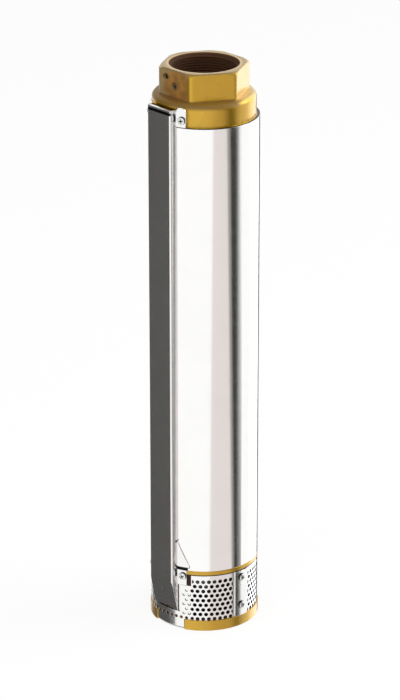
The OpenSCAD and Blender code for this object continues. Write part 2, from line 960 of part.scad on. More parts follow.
// Stage bowl: shell, core disc with bearing hub, return vanes and the plate under the next stage
module diffuser(i) {
    plate_z = stage_pitch - plate_t;
    vane_r2 = bowl_in_r + 0.6;
    color(ivory_plastic)
        translate([0, 0, stage_z(i)]) {
            ring(bowl_in_r, bowl_r, 0, stage_pitch);
            ring(wear_seat_r, bowl_in_r + 1, plate_z, stage_pitch);
            ring(bush_r, core_r, core_z, core_z + core_t);
            ring(bush_r, bearing_hub_r, core_z, plate_z - 1);
            translate([0, 0, core_z + 1])
                linear_extrude(plate_z - core_z - 1)
                    for (v = [0 : diffuser_vanes - 1])
                        rotate(v * 360 / diffuser_vanes)
                            vane_2d(bearing_hub_r + 1, vane_r2, 0.46 * vane_r2, 0.7 * vane_r2);
        }
}

module wear_ring(i) {
    color(bright_steel)
        translate([0, 0, stage_z(i)])
            rotate_extrude()
                polygon([
                    [wear_ring_r, wear_lip - plate_t],
                    [wear_seat_r - fit_gap, wear_lip - plate_t],
                    [wear_seat_r - fit_gap, seat_gap],
                    [wear_flange_r, seat_gap],
                    [wear_flange_r, 1],
                    [wear_ring_r, 1]]);
}

// Closed impeller: eye skirt, front and back shroud, backward vanes and a long hub
module impeller(i) {
    r2 = impeller_d / 2;
    hub_z = stage_pitch - hub_drop;
    eye_in_r = eye_r - eye_wall;
    vane_r1 = hub_r + 3;
    turn_r = 9;
    back_z = 15;
    rim_z = 6;
    shroud_t = 1.6;
    color(black_plastic)
        translate([0, 0, stage_z(i)])
            difference() {
                union() {
                    rotate_extrude() {
                        polygon([
                            [eye_in_r, wear_lip - plate_t],
                            [eye_r, wear_lip - plate_t],
                            [eye_r, 2],
                            [r2, rim_z],
                            [r2, rim_z + shroud_t],
                            [eye_in_r, 2 + shroud_t]]);
                        translate([shaft_af / 2, back_z])
                            square([r2 - shaft_af / 2, 2]);
                        polygon([
                            [shaft_af / 2, -hub_drop],
                            [hub_r, -hub_drop],
                            [hub_r, back_z - turn_r],
                            [hub_r + 0.3 * turn_r, back_z - 0.3 * turn_r],
                            [hub_r + turn_r, back_z],
                            [shaft_af / 2, back_z]]);
                        translate([shaft_af / 2, back_z])
                            square([hub_r - shaft_af / 2, hub_z - back_z]);
                    }
                    intersection() {
                        linear_extrude(back_z + 1)
                            for (v = [0 : impeller_vanes - 1])
                                rotate(v * 360 / impeller_vanes)
                                    vane_2d(vane_r1, r2 - 0.4, 0.5 * r2, 0.72 * r2);
                        rotate_extrude()
                            polygon([
                                [0, 2.8],
                                [eye_in_r, 2.8],
                                [r2 + 1, rim_z + 1],
                                [r2 + 1, back_z + 1],
                                [0, back_z + 1]]);
                    }
                }
                hexagon(shaft_af + 2 * fit_gap, -hub_drop - 1, hub_z + 1);
            }
}

module pump_shaft() {
    color(bright_steel)
        difference() {
            union() {
                hexagon(shaft_af, socket_z + 0.5, sleeve_top_z);
                ring(0, thread_r, sleeve_top_z - 1, shaft_top_z);
            }
            translate([0, 0, pin_z])
                rotate([90, 0, 0])
                    cylinder(r = pin_r + seat_gap, h = coupling_d, center = true);
        }
}

// Motor spline: a bore with one slot for each tooth of the motor shaft
module spline_2d() {
    minor_r = spline_d / 2 - 1.1;
    slot_w = 0.52 * PI * spline_d / spline_teeth;
    circle(r = minor_r);
    intersection() {
        circle(r = spline_d / 2);
        for (t = [0 : spline_teeth - 1])
            rotate(t * 360 / spline_teeth)
                translate([0, -slot_w / 2])
                    square([spline_d, slot_w]);
    }
}

module shaft_coupling() {
    color(bright_steel)
        difference() {
            rotate_extrude()
                polygon([
                    [0, coupling_z1],
                    [coupling_d / 2 - 1, coupling_z1],
                    [coupling_d / 2, coupling_z1 + 1],
                    [coupling_d / 2, coupling_z2 - 3],
                    [coupling_d / 2 - 3, coupling_z2],
                    [0, coupling_z2]]);
            ring(0, pilot_r, coupling_z1 - 1, coupling_z1 + pilot_h);
            translate([0, 0, coupling_z1 + pilot_h - 1])
                linear_extrude(spline_h + 1)
                    spline_2d();
            hexagon(shaft_af + 2 * fit_gap, socket_z, coupling_z2 + 1);
            translate([0, 0, pin_z])
                rotate([90, 0, 0])
                    cylinder(r = pin_r + seat_gap, h = 2 * coupling_d, center = true);
        }
}

module coupling_pin() {
    color(dark_steel)
        translate([0, 0, pin_z])
            rotate([90, 0, 0])
                cylinder(r = pin_r, h = coupling_d - 1, center = true);
}

// Sleeve with a hexagonal bore, running in a bush
module shaft_sleeve(z1, z2) {
    color(bright_steel)
        difference() {
            ring(0, hub_r, z1, z2);
            hexagon(shaft_af + 2 * fit_gap, z1 - 1, z2 + 1);
        }
}

module lower_sleeve() {
    shaft_sleeve(coupling_z2 + seat_gap, first_stage_z - hub_drop - seat_gap);
}

module top_sleeve() {
    shaft_sleeve(hub_top_z + seat_gap, sleeve_top_z);
}

module shaft_washer() {
    color(bright_steel)
        ring(thread_r + fit_gap, hub_r + 1, sleeve_top_z + seat_gap, sleeve_top_z + washer_t);
}

module shaft_nut() {
    z1 = sleeve_top_z + washer_t + seat_gap;
    color(bright_steel)
        difference() {
            hexagon(nut_af, z1, z1 + nut_h);
            ring(0, thread_r + fit_gap, z1 - 1, z1 + nut_h + 1);
        }
}

suction_bracket();
bracket_o_ring();
strainer();
strainer_screws();
cable_guard();
guard_screws();
outer_casing();
discharge_head();
head_o_ring();
riser_lock_screw();
valve_seat();
valve_guide();
valve_circlip();
valve_spring();
valve_poppet();
valve_seal();
valve_washer();
valve_screw();
bearing_spider();
top_bearing_bush();
lower_bearing_bush();
inlet_plate();
stage_bushes();
pump_shaft();
shaft_coupling();
coupling_pin();
lower_sleeve();
top_sleeve();
shaft_washer();
shaft_nut();
for (i = [1 : stage_count]) {
    impeller(i);
    diffuser(i);
    wear_ring(i);
}
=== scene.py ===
"""Pump end of a borehole set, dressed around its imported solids."""

import math

import bmesh
import bpy
import numpy as np
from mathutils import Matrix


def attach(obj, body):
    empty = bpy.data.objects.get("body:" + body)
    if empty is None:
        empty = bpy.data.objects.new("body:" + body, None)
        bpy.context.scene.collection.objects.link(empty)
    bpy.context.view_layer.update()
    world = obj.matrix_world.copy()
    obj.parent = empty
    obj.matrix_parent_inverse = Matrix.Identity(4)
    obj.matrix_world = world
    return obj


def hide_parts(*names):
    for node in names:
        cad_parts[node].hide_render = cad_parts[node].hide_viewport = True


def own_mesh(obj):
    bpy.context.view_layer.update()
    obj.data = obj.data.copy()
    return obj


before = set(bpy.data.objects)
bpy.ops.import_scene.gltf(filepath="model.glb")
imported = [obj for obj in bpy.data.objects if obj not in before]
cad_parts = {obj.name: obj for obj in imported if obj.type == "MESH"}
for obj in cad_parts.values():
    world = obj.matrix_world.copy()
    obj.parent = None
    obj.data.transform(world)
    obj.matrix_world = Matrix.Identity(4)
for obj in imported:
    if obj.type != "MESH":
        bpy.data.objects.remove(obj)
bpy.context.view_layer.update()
scene = bpy.context.scene
scene.view_settings.view_transform = "Standard"

# Camera: a long lens about three metres away, above the pump and to the right
# of its cable guard.
camera_turn, camera_tilt = math.radians(46.86), math.radians(21.852)
camera_away, camera_height = 2.72187, 1.34604
camera = bpy.data.objects.new("camera", bpy.data.cameras.new("camera"))
camera.data.lens = 169.17
camera.data.shift_x = -0.00614
camera.location = (
    camera_away * math.sin(camera_turn),
    -camera_away * math.cos(camera_turn),
    camera_height,
)
camera.rotation_euler = (math.pi / 2 - camera_tilt, 0, camera_turn)
scene.collection.objects.link(camera)
scene.camera = camera


# Studio: a pale floor under an even white sky, two soft boxes, and dark, rose and
# bright cards around the pump that show only as bands in its polished metal.
def surface(name, grid, around=False):
    """Mesh of one or more grids of points, shape (..., rows, columns, 3).
    Around joins the last column to the first; points that coincide are merged."""
    rows, cols = grid.shape[-3:-1]
    i = np.arange(rows - 1)[:, None]
    j = np.arange(cols if around else cols - 1)
    k = (j + 1) % cols
    quad = np.stack(
        np.broadcast_arrays(i * cols + j, i * cols + k, (i + 1) * cols + k, (i + 1) * cols + j), -1
    ).reshape(-1, 4)
    copies = grid.reshape(-1, rows * cols, 3)
    quads = (quad + rows * cols * np.arange(len(copies))[:, None, None]).reshape(-1, 4)
    mesh = bpy.data.meshes.new(name)
    mesh.from_pydata(copies.reshape(-1, 3).tolist(), [], quads.tolist())
    clean = bmesh.new()
    clean.from_mesh(mesh)
    bmesh.ops.remove_doubles(clean, verts=clean.verts, dist=1e-7)
    bmesh.ops.recalc_face_normals(clean, faces=clean.faces)
    clean.to_mesh(mesh)
    clean.free()
    mesh.shade_smooth()
    made = bpy.data.objects.new(name, mesh)
    scene.collection.objects.link(made)
    return made


def put(tree, kind, sockets=None, **settings):
    """One shader node: settings are its properties, sockets its inputs by name or number,
    each a plain value or another node's output."""
    made = tree.nodes.new("ShaderNode" + kind)
    for name, value in settings.items():
        setattr(made, name, value)
    for name, value in (sockets or {}).items():
        if isinstance(value, bpy.types.NodeSocket):
            tree.links.new(value, made.inputs[name])
        else:
            made.inputs[name].default_value = value
    return made


def calc(tree, operation, *terms):
    """Output of one Math node: the operation applied to the terms."""
    return put(tree, "Math", dict(enumerate(terms)), operation=operation).outputs[0]


def seen_directly(tree):
    """1 for rays from the camera, from polished metal and through glass, 0 for the rest."""
    path = put(tree, "LightPath").outputs
    return calc(
        tree, "MAXIMUM", path["Is Camera Ray"],
        calc(tree, "MAXIMUM", path["Is Glossy Ray"], path["Is Transmission Ray"]),
    )


white, sky_light, sky_seen = (1, 1, 1, 1), 0.62, 1.0
sky = bpy.data.worlds.new("studio_sky")
sky.use_nodes = True
sky.node_tree.nodes.clear()
sky_mix = put(sky.node_tree, "MixShader", {
    0: seen_directly(sky.node_tree),
    1: put(sky.node_tree, "Background", {"Color": white, "Strength": sky_light}).outputs[0],
    2: put(sky.node_tree, "Background", {"Color": white, "Strength": sky_seen}).outputs[0],
})
sky.node_tree.links.new(
    sky_mix.outputs[0], put(sky.node_tree, "OutputWorld").inputs["Surface"])
scene.world = sky


def light_material(name):
    """An empty material with its output node."""
    made = bpy.data.materials.new(name)
    made.use_nodes = True
    made.node_tree.nodes.clear()
    return made, made.node_tree, put(made.node_tree, "OutputMaterial").inputs["Surface"]


def ramp(tree, value, low, high, at_low=0.0, at_high=1.0):
    """Smooth step of a value from low to high."""
    return put(tree, "MapRange", {
        "Value": value, 1: low, 2: high, 3: at_low, 4: at_high,
    }, interpolation_type="SMOOTHSTEP").outputs[0]


def around_shaft(tree):
    """Outputs x, y, z, the radius from the shaft and the turn about it in radians."""
    x, y, z = put(tree, "SeparateXYZ", {
        0: put(tree, "TexCoord").outputs["Object"]}).outputs
    radius = calc(tree, "SQRT", calc(
        tree, "ADD", calc(tree, "MULTIPLY", x, x), calc(tree, "MULTIPLY", y, y)))
    turn = calc(tree, "ARCTAN2", x, calc(tree, "MULTIPLY", y, -1.0))
    return x, y, z, radius, turn


# the floor keeps a share of the shadow around the rim, and all of it under the pump
footprint_r, footprint_soft, shadow_share = 0.045, 0.003, 0.16
floor_z, floor_half, floor_white = -0.0002, 6.0, 1.02
floor_paint, tree, out = light_material("floor_paint")
x, y, z, radius, turn = around_shaft(tree)
floor_seen = put(tree, "MixShader", {
    0: ramp(tree, radius, footprint_r + footprint_soft, footprint_r, shadow_share, 1.0),
    1: put(tree, "Emission", {"Color": white, "Strength": floor_white}).outputs[0],
    2: put(tree, "BsdfDiffuse", {"Color": (0.92, 0.92, 0.92, 1)}).outputs[0],
})
floor_mix = put(tree, "MixShader", {
    0: seen_directly(tree),
    1: put(tree, "BsdfDiffuse", {"Color": (0.8, 0.8, 0.8, 1)}).outputs[0],
    2: floor_seen.outputs[0],
})
tree.links.new(floor_mix.outputs[0], out)
span = np.linspace(-floor_half, floor_half, 3)
floor = surface("floor", np.stack(
    [*np.meshgrid(span, span), np.full((3, 3), floor_z)], -1))
floor.data.materials.append(floor_paint)
floor.visible_glossy = False


card_circle_r = 1.1


def reflected_only(made, tone):
    """Gives a card one even tone and shows it to nothing but polished metal."""
    paint, tree, out = light_material(made.name)
    tree.links.new(put(tree, "Emission", {"Color": (*tone, 1)}).outputs[0], out)
    made.data.materials.append(paint)
    made.visible_camera = made.visible_diffuse = made.visible_shadow = False


def upright_card(name, start, end, tone, low=-1.4, high=1.6):
    """Upright card on a circle about the pump. Its two edges are in degrees to the right of
    the camera, each as (at the floor, change per metre up)."""
    height = np.linspace(low, high, 9)[:, None]
    share = np.linspace(0, 1, 25)[None, :]
    left, right = start[0] + start[1] * height, end[0] + end[1] * height
    turn = camera_turn + np.radians(left + (right - left) * share)
    reflected_only(surface(name, np.stack(
        [card_circle_r * np.sin(turn), -card_circle_r * np.cos(turn), height + 0 * turn], -1)), tone)


def round_card(name, radius, height, tone):
    """Flat round card on the pump's axis: rings of points that shrink to its middle."""
    reach = np.linspace(radius, 0, 5)[:, None]
    turn = np.linspace(0, 2 * np.pi, 48, endpoint=False)[None, :]
    reflected_only(surface(name, np.stack(
        [reach * np.cos(turn), reach * np.sin(turn), height + 0 * reach * turn], -1),
        around=True), tone)


below_floor = -0.372  # top edge of the cards that only sheet leaning down reflects
upright_card("grey_card_left", (-125, 0), (-80, 0), (0.085, 0.083, 0.08))
upright_card("rose_card_right", (16.5, 11), (50, -24), (0.782, 0.72, 0.704))
upright_card("dusk_card_right", (50, -24), (56.5, -22), (0.32, 0.30, 0.28))
upright_card("dark_card_right", (56.5, -22), (68.6, -12), (0.044, 0.043, 0.036))
upright_card("dim_card_right", (68.6, -12), (73, -11.5), (0.13, 0.13, 0.125))
upright_card("pale_card_right", (73, -11.5), (77.3, -11), (0.42, 0.42, 0.42))
upright_card("grey_card_low", (-80, 0), (-66, 0), (0.15, 0.145, 0.14), high=below_floor)
upright_card("grey_card_low_left", (-152, 0), (-125, 0), (0.25, 0.245, 0.23), high=below_floor)
upright_card("bright_card_right", (112, 0), (153, 0), (1.8, 1.8, 1.85))
upright_card("grey_card_behind", (153, 0), (192, 0), (0.12, 0.12, 0.12), high=0.3)
round_card("grey_ceiling", 1.25, 1.7, (0.3, 0.3, 0.3))
# painted shade: a black disc just above the floor under the pump, seen only in polished metal, stands
# for the shaded floor there
round_card("shade_disc_under_pump", 0.043, -0.0001, (0.01, 0.01, 0.01))


lamp_away, lamp_size, pump_middle_z = 3.0, 2.0, 0.25


def soft_box(name, turn, rise, power):
    """Square lamp turned to the right of the camera, raised, and aimed at the pump's middle."""
    lamp = bpy.data.lights.new(name, "AREA")
    lamp.size = lamp_size
    lamp.energy = power
    made = bpy.data.objects.new(name, lamp)
    angle = camera_turn + math.radians(turn)
    rise = math.radians(rise)
    made.location = (
        lamp_away * math.cos(rise) * math.sin(angle),
        -lamp_away * math.cos(rise) * math.cos(angle),
        pump_middle_z + lamp_away * math.sin(rise),
    )
    made.rotation_euler = (math.pi / 2 - rise, 0, angle)
    scene.collection.objects.link(made)


soft_box("soft_box_right", 95, 40, 34)
soft_box("soft_box_front", -20, 60, 22)


# Suction bracket: a bronze sand casting, turned on its rim and ring, that bolts to
# the motor and carries the casing. Small edges are broken and bright from handling.
def effect(name, inputs, outputs):
    """Empty shader group: number inputs with their start values, and outputs by kind."""
    tree = bpy.data.node_groups.new(name, "ShaderNodeTree")
    for socket, start in inputs.items():
        tree.interface.new_socket(
            socket, in_out="INPUT", socket_type="NodeSocketFloat").default_value = start
    for socket, kind in outputs.items():
        tree.interface.new_socket(socket, in_out="OUTPUT", socket_type="NodeSocket" + kind)
    return tree, tree.nodes.new("NodeGroupInput").outputs, tree.nodes.new("NodeGroupOutput").inputs


def blend(tree, share, first, second):
    """Colour between the first and the second by share."""
    return put(tree, "Mix", {0: share, 6: first, 7: second}, data_type="RGBA").outputs[2]


# grain of a sand mould: fine noise, with pits where a coarser noise is low
coarse_share, pit_depth = 0.22, 0.8
casting_skin, given, out = effect(
    "casting_skin", {"Grains per metre": 900.0}, {"Height": "Float", "Pits": "Float"})
place = put(casting_skin, "TexCoord").outputs["Object"]
fine = put(casting_skin, "TexNoise", {
    "Vector": place, "Scale": given[0], "Detail": 4.0, "Roughness": 0.6}).outputs[0]
coarse = put(casting_skin, "TexNoise", {
    "Vector": place, "Scale": calc(casting_skin, "MULTIPLY", given[0], coarse_share),
    "Detail": 3.0}).outputs[0]
pits = ramp(casting_skin, coarse, 0.36, 0.28)
casting_skin.links.new(pits, out["Pits"])
casting_skin.links.new(calc(
    casting_skin, "SUBTRACT", fine, calc(casting_skin, "MULTIPLY", pits, pit_depth)), out["Height"])

# tool lines of a lathe: noise of the radius plus the height alone, so they run round
turning_marks, given, out = effect(
    "turning_marks", {"Lines per metre": 2500.0}, {"Height": "Float"})
x, y, z, radius, turn = around_shaft(turning_marks)
along = calc(turning_marks, "ADD", radius, z)
turning_marks.links.new(put(turning_marks, "TexNoise", {
    "W": along, "Scale": given[0], "Detail": 2.0}, noise_dimensions="1D").outputs[0], out["Height"])

# broken edges: where the rounded normal leaves the true one
broken_edges, given, out = effect(
    "broken_edges", {"Width": 0.0005}, {"Worn": "Float", "Normal": "Vector"})
rounded = put(broken_edges, "Bevel", {"Radius": given[0]}, samples=6).outputs[0]
true_normal = put(broken_edges, "NewGeometry").outputs["Normal"]
lean = put(broken_edges, "VectorMath", {
    0: rounded, 1: true_normal}, operation="DOT_PRODUCT").outputs["Value"]
broken_edges.links.new(ramp(broken_edges, lean, 0.995, 0.86), out["Worn"])
broken_edges.links.new(rounded, out["Normal"])

# tarnish: slow clouds broken up by small ones, above a level that the cover sets
cloud_soft = 0.16
tarnish, given, out = effect(
    "tarnish", {"Clouds per metre": 40.0, "Cover": 0.5}, {"Stain": "Float"})
place = put(tarnish, "TexCoord").outputs["Object"]
slow = put(tarnish, "TexNoise", {
    "Vector": place, "Scale": given[0], "Detail": 5.0, "Roughness": 0.65, "Distortion": 0.6}).outputs[0]
edge = calc(tarnish, "SUBTRACT", 1.0, given[1])
tarnish.links.new(put(tarnish, "MapRange", {
    "Value": slow, 1: calc(tarnish, "SUBTRACT", edge, cloud_soft),
    2: calc(tarnish, "ADD", edge, cloud_soft),
}).outputs[0], out["Stain"])


def metal(name):
    """Bare metal material: its node tree and its shader's sockets."""
    made = bpy.data.materials.new(name)
    made.use_nodes = True
    shader = made.node_tree.nodes["Principled BSDF"].inputs
    shader["Metallic"].default_value = 1.0
    return made, made.node_tree, shader


def wear(material, *nodes):
    """Gives the named solids their finish."""
    for name in nodes:
        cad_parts[name].material_slots[0].material = material


bronze_gold, bronze_cloud = (0.63, 0.365, 0.005, 1), (0.58, 0.33, 0.004, 1)
pit_brown, worn_gold = (0.25, 0.12, 0.03, 1), (0.80, 0.58, 0.2, 1)


def bronze(name, edge, dark, shaded, stain_and_shade):
    """Golden lacquered bronze with faint brown clouds and edges rounded to a width. The fourth argument
    gives the mask of painted shade, where the bronze turns dark and matt, and the fifth the mask and the
    colour of a matt film that is a real stain in places and painted shade in others, both from the place
    on the piece."""
    made, tree, shader = metal(name)
    shader["Coat Roughness"].default_value = 0.25
    shader["Coat IOR"].default_value = 1.6
    skin = put(tree, "Group", {"Grains per metre": 1100.0}, node_tree=casting_skin).outputs
    lines = put(tree, "Group", {"Lines per metre": 2600.0}, node_tree=turning_marks).outputs
    edges = put(tree, "Group", {"Width": edge}, node_tree=broken_edges).outputs
    cloud = put(tree, "Group", {"Clouds per metre": 45.0, "Cover": 0.4}, node_tree=tarnish).outputs[0]
    place = around_shaft(tree)
    # the film is a real stain on the head's flat and painted shade on the head's top and in the
    # bracket's ring corner; the next mask is painted shade
    film, film_and_shade_colour = stain_and_shade(tree, *place)
    painted_shade = shaded(tree, *place)
    bare = calc(tree, "SUBTRACT", 1.0, calc(tree, "MAXIMUM", calc(tree, "MULTIPLY", film, 0.85), painted_shade))
    colour = blend(tree, cloud, bronze_gold, bronze_cloud)
    colour = blend(tree, calc(tree, "MULTIPLY", skin["Pits"], 0.2), colour, pit_brown)
    colour = blend(tree, calc(tree, "MULTIPLY", edges["Worn"], 0.12), colour, worn_gold)
    colour = blend(tree, film, colour, film_and_shade_colour)
    colour = blend(tree, painted_shade, colour, (*dark, 1))
    tree.links.new(colour, shader["Base Color"])
    tree.links.new(bare, shader["Metallic"])
    tree.links.new(bare, shader["Coat Weight"])
    rough = put(tree, "MapRange", {"Value": cloud, 3: 0.32, 4: 0.4}).outputs[0]
    tree.links.new(calc(tree, "MAXIMUM", rough, calc(tree, "MULTIPLY", painted_shade, 0.9)), shader["Roughness"])
    height = calc(tree, "ADD", calc(tree, "MULTIPLY", skin["Height"], 0.35),
                  calc(tree, "MULTIPLY", lines["Height"], 0.25))
    tree.links.new(put(tree, "Bump", {
        "Strength": 0.3, "Distance": 0.0001, "Height": height, "Normal": edges["Normal"],
    }).outputs[0], shader["Normal"])
    return made


def between(tree, value, low, high, soft):
    """1 where the value lies between low and high, with soft ends."""
    return calc(tree, "MULTIPLY", ramp(tree, value, low - soft, low),
                ramp(tree, value, high + soft, high))


rim_top_z, ring_low_z, ring_corner = 0.0105, 0.0546, 0.0004


def shade_behind_strainer(tree, x, y, z, radius, turn):
    """Painted shade: the pillars, the pads and the plate between the rim and the ring, inside the
    strainer, turn dark brown and matt.
    """
    return between(tree, z, rim_top_z, ring_low_z, 0.0006)


def shade_line_under_ring(tree, x, y, z, radius, turn):
    """Painted shade: a thin dark brown line round the ring's lower edge, in the corner between the ring
    and the strainer.
    """
    corner = between(tree, z, ring_low_z - ring_corner, ring_low_z + ring_corner, 0.0004)
    return corner, (0.10, 0.05, 0.015, 1)


bracket_bronze = bronze(
    "bracket_bronze", 0.0006, (0.032, 0.011, 0.004), shade_behind_strainer, shade_line_under_ring)
wear(bracket_bronze, "suction_bracket")


# Seals and bearing bushes: black nitrile rubber, moulded, with a dusty bloom. The
# bushes are fluted, so that water and sand pass along the shaft.
rubber_black, rubber_bloom = (0.012, 0.012, 0.012, 1), (0.035, 0.034, 0.032, 1)
rubber = bpy.data.materials.new("black_rubber")
rubber.use_nodes = True
tree, shader = rubber.node_tree, rubber.node_tree.nodes["Principled BSDF"].inputs
bloom = put(tree, "Group", {"Clouds per metre": 160.0, "Cover": 0.45}, node_tree=tarnish).outputs[0]
grain = put(tree, "Group", {"Grains per metre": 3000.0}, node_tree=casting_skin).outputs["Height"]
tree.links.new(blend(tree, bloom, rubber_black, rubber_bloom), shader["Base Color"])
tree.links.new(put(tree, "MapRange", {"Value": bloom, 3: 0.5, 4: 0.75}).outputs[0], shader["Roughness"])
tree.links.new(put(tree, "Bump", {
    "Strength": 0.3, "Distance": 0.00004, "Height": grain}).outputs[0], shader["Normal"])
wear(rubber, "bracket_o_ring", "head_o_ring", "valve_seal", "top_bearing_bush",
     "lower_bearing_bush", "stage_bushes")


# Shaft line: hexagonal stainless bar, drawn lengthwise, with a splined coupling for
# the motor, its cross pin, two sleeves, and a washer and nut on top.
steel_edge = 0.0003


def bright_bar(name, colour, roughness, lines):
    """Bright turned or drawn steel with tool lines and faint stains."""
    made, tree, shader = metal(name)
    marks = put(tree, "Group", {"Lines per metre": lines}, node_tree=turning_marks).outputs[0]
    edges = put(tree, "Group", {"Width": steel_edge}, node_tree=broken_edges).outputs
    stain = put(tree, "Group", {"Clouds per metre": 90.0, "Cover": 0.4}, node_tree=tarnish).outputs[0]
    dull = tuple(0.8 * c for c in colour)
    shade = blend(tree, calc(tree, "MULTIPLY", stain, 0.6), (*colour, 1), (*dull, 1))
    shade = blend(tree, calc(tree, "MULTIPLY", edges["Worn"], 0.5), shade, (0.92, 0.92, 0.92, 1))
    tree.links.new(shade, shader["Base Color"])
    tree.links.new(put(tree, "MapRange", {
        "Value": stain, 3: roughness, 4: roughness + 0.12}).outputs[0], shader["Roughness"])
    tree.links.new(put(tree, "Bump", {
        "Strength": 0.35, "Distance": 0.00005, "Height": marks, "Normal": edges["Normal"],
    }).outputs[0], shader["Normal"])
    return made


shaft_steel = bright_bar("shaft_steel", (0.60, 0.60, 0.61), 0.22, 3000.0)
wear(shaft_steel, "pump_shaft", "shaft_coupling", "coupling_pin", "lower_sleeve",
     "top_sleeve", "shaft_washer", "shaft_nut")


# Stages: ivory moulded bowls with return vanes, black moulded impellers and
# turned steel wear rings, stacked on the shaft.
def moulding(name, colour, roughness):
    """Moulded plastic: a fine spark-eroded texture and slight flow clouds."""
    made = bpy.data.materials.new(name)
    made.use_nodes = True
    tree, shader = made.node_tree, made.node_tree.nodes["Principled BSDF"].inputs
    flow = put(tree, "Group", {"Clouds per metre": 70.0, "Cover": 0.5}, node_tree=tarnish).outputs[0]
    grain = put(tree, "Group", {"Grains per metre": 2400.0}, node_tree=casting_skin).outputs["Height"]
    clouded = tuple(0.88 * c for c in colour)
    tree.links.new(blend(tree, flow, (*colour, 1), (*clouded, 1)), shader["Base Color"])
    tree.links.new(put(tree, "MapRange", {
        "Value": grain, 3: roughness - 0.06, 4: roughness + 0.08}).outputs[0], shader["Roughness"])
    tree.links.new(put(tree, "Bump", {
        "Strength": 0.25, "Distance": 0.00005, "Height": grain}).outputs[0], shader["Normal"])
    return made


stages = range(1, len([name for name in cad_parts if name.startswith("impeller_")]) + 1)
wear(moulding("ivory_moulding", (0.70, 0.66, 0.54), 0.45), "inlet_plate", "bearing_spider",
     *[f"diffuser_{i}" for i in stages])
wear(moulding("black_moulding", (0.02, 0.02, 0.022), 0.4), *[f"impeller_{i}" for i in stages])
wear(bright_bar("wear_ring_steel", (0.58, 0.58, 0.59), 0.25, 3500.0),
     *[f"wear_ring_{i}" for i in stages])


# Casing: welded stainless tube, polished on a spindle, so its fine lines run round
# it. It clamps the stages between the bracket and the head.
sheet_wrap_r = 0.05

# hairlines: thin stretched noise, wound round the shaft or laid along it
hairlines, given, out = effect(
    "hairlines", {"Slope": 0.1, "Lines per metre": 1500.0, "Stretch": 0.02, "Level": 0.62},
    {"Line": "Float"})
x, y, z, radius, turn = around_shaft(hairlines)
arc = calc(hairlines, "MULTIPLY", turn, sheet_wrap_r)
across = calc(hairlines, "ADD", z, calc(hairlines, "MULTIPLY", arc, given["Slope"]))
lengthwise = calc(hairlines, "SUBTRACT", arc, calc(hairlines, "MULTIPLY", z, given["Slope"]))
spread = put(hairlines, "CombineXYZ", {
    0: across, 1: calc(hairlines, "MULTIPLY", lengthwise, given["Stretch"])}).outputs[0]
thread_noise = put(hairlines, "TexNoise", {
    "Vector": spread, "Scale": given["Lines per metre"], "Detail": 1.0},
    noise_dimensions="2D").outputs[0]
hairlines.links.new(ramp(hairlines, thread_noise, given["Level"], calc(
    hairlines, "ADD", given["Level"], 0.08)), out["Line"])


def bright_sheet(name, colour, roughness, slope, scratched, dents):
    """Polished stainless sheet: polishing lines at a slope, stray scratches, finger marks,
    shallow dents, and rounded sheared edges."""
    made, tree, shader = metal(name)
    lines = put(tree, "Group", {
        "Slope": slope, "Lines per metre": 2600.0, "Stretch": 0.01, "Level": 0.5,
    }, node_tree=hairlines).outputs[0]
    stray = put(tree, "Group", {
        "Slope": slope + 0.7, "Lines per metre": 700.0, "Stretch": 0.03, "Level": 0.72,
    }, node_tree=hairlines).outputs[0]
    marks = put(tree, "Group", {"Clouds per metre": 26.0, "Cover": 0.4}, node_tree=tarnish).outputs[0]
    edges = put(tree, "Group", {"Width": steel_edge}, node_tree=broken_edges).outputs
    waves = put(tree, "TexNoise", {
        "Vector": put(tree, "TexCoord").outputs["Object"], "Scale": 28.0, "Detail": 1.0}).outputs[0]
    dull = tuple(0.975 * c for c in colour)
    shade = blend(tree, marks, (*colour, 1), (*dull, 1))
    shade = blend(tree, calc(tree, "MULTIPLY", stray, 0.3 * scratched), shade, (0.55, 0.55, 0.55, 1))
    tree.links.new(shade, shader["Base Color"])
    rough = calc(tree, "ADD", put(tree, "MapRange", {
        "Value": marks, 3: roughness, 4: roughness + 0.03}).outputs[0],
        calc(tree, "MULTIPLY", lines, 0.05))
    tree.links.new(rough, shader["Roughness"])
    height = calc(tree, "SUBTRACT", calc(tree, "MULTIPLY", lines, 0.5),
                  calc(tree, "MULTIPLY", stray, 0.4 * scratched))
    fine = put(tree, "Bump", {
        "Strength": 0.12, "Distance": 0.00003, "Height": height, "Normal": edges["Normal"]})
    broad = put(tree, "Bump", {
        "Strength": dents, "Distance": 0.002, "Height": waves, "Normal": fine.outputs[0]})
    tree.links.new(broad.outputs[0], shader["Normal"])
    return made


def darken(material, colour, mask):
    """Lays a dark colour over a finished material where the mask says."""
    tree = material.node_tree
    base = tree.nodes["Principled BSDF"].inputs["Base Color"]
    tree.links.new(blend(tree, mask, base.links[0].from_socket, colour), base)


casing_top_z, casing_lip = 0.4763, 0.0004
flap_foot_z, flap_fade, flap_from, flap_to = 0.0613, 0.0009, 0.28, 0.50
shade_and_joint_black = (0.012, 0.012, 0.012, 1)
casing_steel = bright_sheet("casing_steel", (0.985, 0.98, 0.965), 0.10, 0.0, 0.12, 0.02)
tree = casing_steel.node_tree
x, y, z, radius, turn = around_shaft(tree)
side = calc(tree, "ABSOLUTE", turn)
# painted shade: the casing is black under the guard's flap, where the slit lies in shadow; its top end
# is black too, a dark line at the joint with the collar
casing_slit_shade = calc(tree, "MULTIPLY", ramp(tree, z, flap_foot_z + flap_fade, flap_foot_z),
                  between(tree, side, flap_from, flap_to, 0.02))
end_face = ramp(tree, z, casing_top_z - casing_lip, casing_top_z)
darken(casing_steel, shade_and_joint_black, calc(tree, "MAXIMUM", casing_slit_shade, end_face))
wear(casing_steel, "outer_casing")


